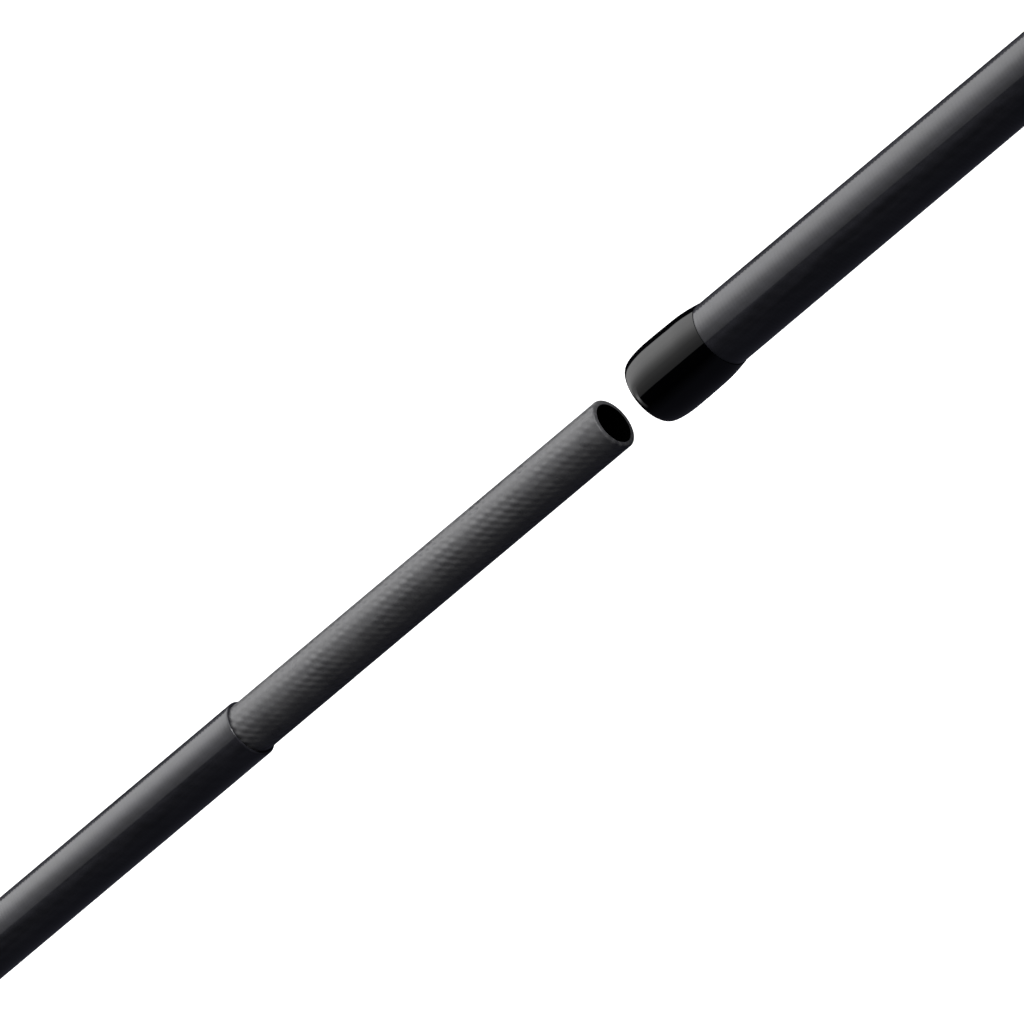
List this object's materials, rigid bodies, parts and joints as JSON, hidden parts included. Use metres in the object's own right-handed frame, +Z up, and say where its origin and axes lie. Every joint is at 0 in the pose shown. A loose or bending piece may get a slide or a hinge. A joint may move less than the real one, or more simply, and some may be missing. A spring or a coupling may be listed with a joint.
{
  "type": "two-piece spinning rod",
  "caption": "Two-piece spinning rod with its spigot ferrule pulled apart: handle with a screw-down reel seat, hollow carbon sections and ring guides down to the tip-top",
  "frame": {"origin": "centre of the flat end of the butt cap", "axes": "+X along the rod from the butt to the tip, +Z up with the reel seat's saddle and the guides on the -Z side, +Y to the left of someone looking from butt to tip"},
  "size_m": [2.2157, 0.0292, 0.0584],
  "materials": {
    "butt_cap": "soft matte black rubber",
    "butt_trim_ring": "turned and anodised, satin",
    "rear_grip": "ground EVA foam, matte charcoal",
    "rear_check": "turned and anodised, satin",
    "reel_seat_body": "glass-filled nylon, satin black",
    "fixed_hood": "pressed steel, grey plating",
    "movable_hood": "pressed steel, grey plating",
    "lock_nut": "knurled, grey anodised",
    "rear_arbor": "rolled tape arbor, set in epoxy",
    "front_arbor": "rolled tape arbor, set in epoxy",
    "fore_grip": "ground EVA foam, matte charcoal",
    "fore_check": "turned and anodised, satin",
    "keeper_arch": "bent stainless wire",
    "keeper_ring": "bent stainless wire",
    "butt_blank": "carbon and resin tube under clear gloss, near black",
    "tip_blank": "carbon and resin tube under clear gloss, near black",
    "tip_socket": "carbon and resin tube under clear gloss, near black",
    "spigot": "bare woven carbon tube, satin grey",
    "ferrule_collar": "thick black gloss over the whipping",
    "guide_1_frame": "stamped steel, dark smoke plating",
    "guide_1_ring": "polished dark ceramic",
    "guide_1_front_wrap": "dark thread under clear epoxy",
    "guide_1_rear_wrap": "dark thread under clear epoxy",
    "guide_2_frame": "stamped steel, dark smoke plating",
    "guide_2_ring": "polished dark ceramic",
    "guide_2_front_wrap": "dark thread under clear epoxy",
    "guide_2_rear_wrap": "dark thread under clear epoxy",
    "guide_3_frame": "stamped steel, dark smoke plating",
    "guide_3_ring": "polished dark ceramic",
    "guide_3_wrap": "dark thread under clear epoxy",
    "guide_4_frame": "stamped steel, dark smoke plating",
    "guide_4_ring": "polished dark ceramic",
    "guide_4_wrap": "dark thread under clear epoxy",
    "guide_5_frame": "stamped steel, dark smoke plating",
    "guide_5_ring": "polished dark ceramic",
    "guide_5_wrap": "dark thread under clear epoxy",
    "guide_6_frame": "stamped steel, dark smoke plating",
    "guide_6_ring": "polished dark ceramic",
    "guide_6_wrap": "dark thread under clear epoxy",
    "guide_7_frame": "stamped steel, dark smoke plating",
    "guide_7_ring": "polished dark ceramic",
    "guide_7_wrap": "dark thread under clear epoxy",
    "keeper_rear_wrap": "dark thread under clear epoxy",
    "keeper_front_wrap": "dark thread under clear epoxy",
    "tip_top_wrap": "dark thread under clear epoxy",
    "tip_top_frame": "steel tube and wire, dark smoke plating",
    "tip_top_ring": "polished dark ceramic"
  },
  "bodies": {
    "butt_section": {"butt_cap": "butt_cap", "butt_trim_ring": "butt_trim_ring", "rear_grip": "rear_grip", "rear_check": "rear_check", "reel_seat_body": "reel_seat_body", "fixed_hood": "fixed_hood", "rear_arbor": "rear_arbor", "front_arbor": "front_arbor", "fore_grip": "fore_grip", "fore_check": "fore_check", "keeper_arch": "keeper_arch", "butt_blank": "butt_blank", "spigot": "spigot", "guide_1_frame": "guide_1_frame", "guide_1_ring": "guide_1_ring", "guide_1_front_wrap": "guide_1_front_wrap", "guide_1_rear_wrap": "guide_1_rear_wrap", "keeper_rear_wrap": "keeper_rear_wrap", "keeper_front_wrap": "keeper_front_wrap"},
    "tip_section": {"tip_socket": "tip_socket", "tip_blank": "tip_blank", "ferrule_collar": "ferrule_collar", "guide_2_frame": "guide_2_frame", "guide_2_ring": "guide_2_ring", "guide_2_front_wrap": "guide_2_front_wrap", "guide_2_rear_wrap": "guide_2_rear_wrap", "guide_3_frame": "guide_3_frame", "guide_3_ring": "guide_3_ring", "guide_3_wrap": "guide_3_wrap", "guide_4_frame": "guide_4_frame", "guide_4_ring": "guide_4_ring", "guide_4_wrap": "guide_4_wrap", "guide_5_frame": "guide_5_frame", "guide_5_ring": "guide_5_ring", "guide_5_wrap": "guide_5_wrap", "guide_6_frame": "guide_6_frame", "guide_6_ring": "guide_6_ring", "guide_6_wrap": "guide_6_wrap", "guide_7_frame": "guide_7_frame", "guide_7_ring": "guide_7_ring", "guide_7_wrap": "guide_7_wrap", "tip_top_wrap": "tip_top_wrap", "tip_top_frame": "tip_top_frame", "tip_top_ring": "tip_top_ring"},
    "hood_slider": {"movable_hood": "movable_hood"},
    "nut": {"lock_nut": "lock_nut"},
    "keeper_loop": {"keeper_ring": "keeper_ring"}
  },
  "joints": [
    {"name": "ferrule_slide", "type": "slide", "parent": "butt_section", "child": "tip_section", "axis": [1, 0, 0], "range_m": [-0.08, 0]},
    {"name": "hood_slide", "type": "slide", "parent": "butt_section", "child": "hood_slider", "axis": [1, 0, 0], "range_m": [0, 0.0135]},
    {"name": "lock_nut_turn", "type": "hinge", "parent": "hood_slider", "child": "nut", "pos_m": [0.2282, 0, 0], "axis": [1, 0, 0], "range_deg": [0, 3240]},
    {"name": "keeper_ring_swing", "type": "hinge", "parent": "butt_section", "child": "keeper_loop", "pos_m": [0.3978, 0, -0.00709], "axis": [0, 1, 0], "range_deg": [-80, 80]}
  ],
  "couplings": [
    {"joint": "lock_nut_turn", "follows": "hood_slide", "rad_per_m": 4188.8}
  ]
}
